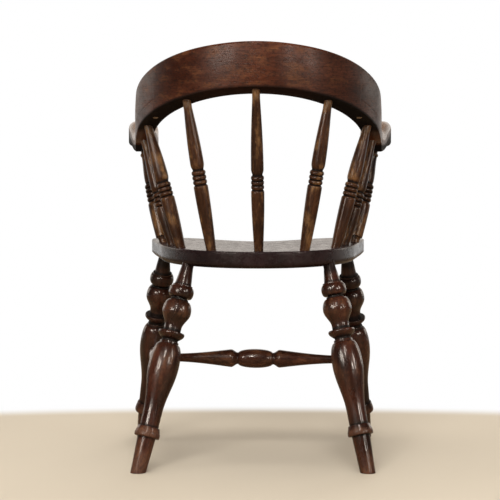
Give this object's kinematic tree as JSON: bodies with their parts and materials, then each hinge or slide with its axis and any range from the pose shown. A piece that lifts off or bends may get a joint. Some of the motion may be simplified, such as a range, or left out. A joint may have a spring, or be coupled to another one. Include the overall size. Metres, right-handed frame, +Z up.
{
  "type": "captains chair",
  "caption": "Wooden captains chair with a plank seat, turned splayed legs and stretchers, turned spindles and a deep bowed back yoke that slopes down into rounded arms.",
  "frame": {"origin": "on the floor, at the bottom centre of the bounding box of the whole chair", "axes": "+Z up, the chair faces -Y so its back is towards +Y, +X is the sitter's left"},
  "size_m": [0.5732, 0.5076, 0.8596],
  "materials": {
    "seat_wood": "dark stain under a worn gloss polish",
    "leg_wood": "dark red-brown stain, glossy",
    "spindle_wood": "brown stain, rubbed in places, soft gloss",
    "bow_wood": "red-brown stain, polished by hands",
    "plug_wood": "plain end grain, satin",
    "screw_steel": "plain"
  },
  "bodies": {
    "root": {"seat": "seat_wood", "leg_back_left": "leg_wood", "leg_back_right": "leg_wood", "leg_front_left": "leg_wood", "leg_front_right": "leg_wood", "stretcher_side_left": "leg_wood", "stretcher_side_right": "leg_wood", "stretcher_cross": "leg_wood", "spindle_back_centre": "spindle_wood", "spindle_back_left": "spindle_wood", "spindle_back_right": "spindle_wood", "spindle_corner_left": "spindle_wood", "spindle_corner_right": "spindle_wood", "spindle_side_left": "spindle_wood", "spindle_side_right": "spindle_wood", "arm_post_left": "spindle_wood", "arm_post_right": "spindle_wood", "back_yoke": "bow_wood", "arm_left": "bow_wood", "arm_right": "bow_wood", "arm_screw_left": "screw_steel", "arm_screw_right": "screw_steel", "screw_plug_left": "plug_wood", "screw_plug_right": "plug_wood"}
  },
  "joints": []
}
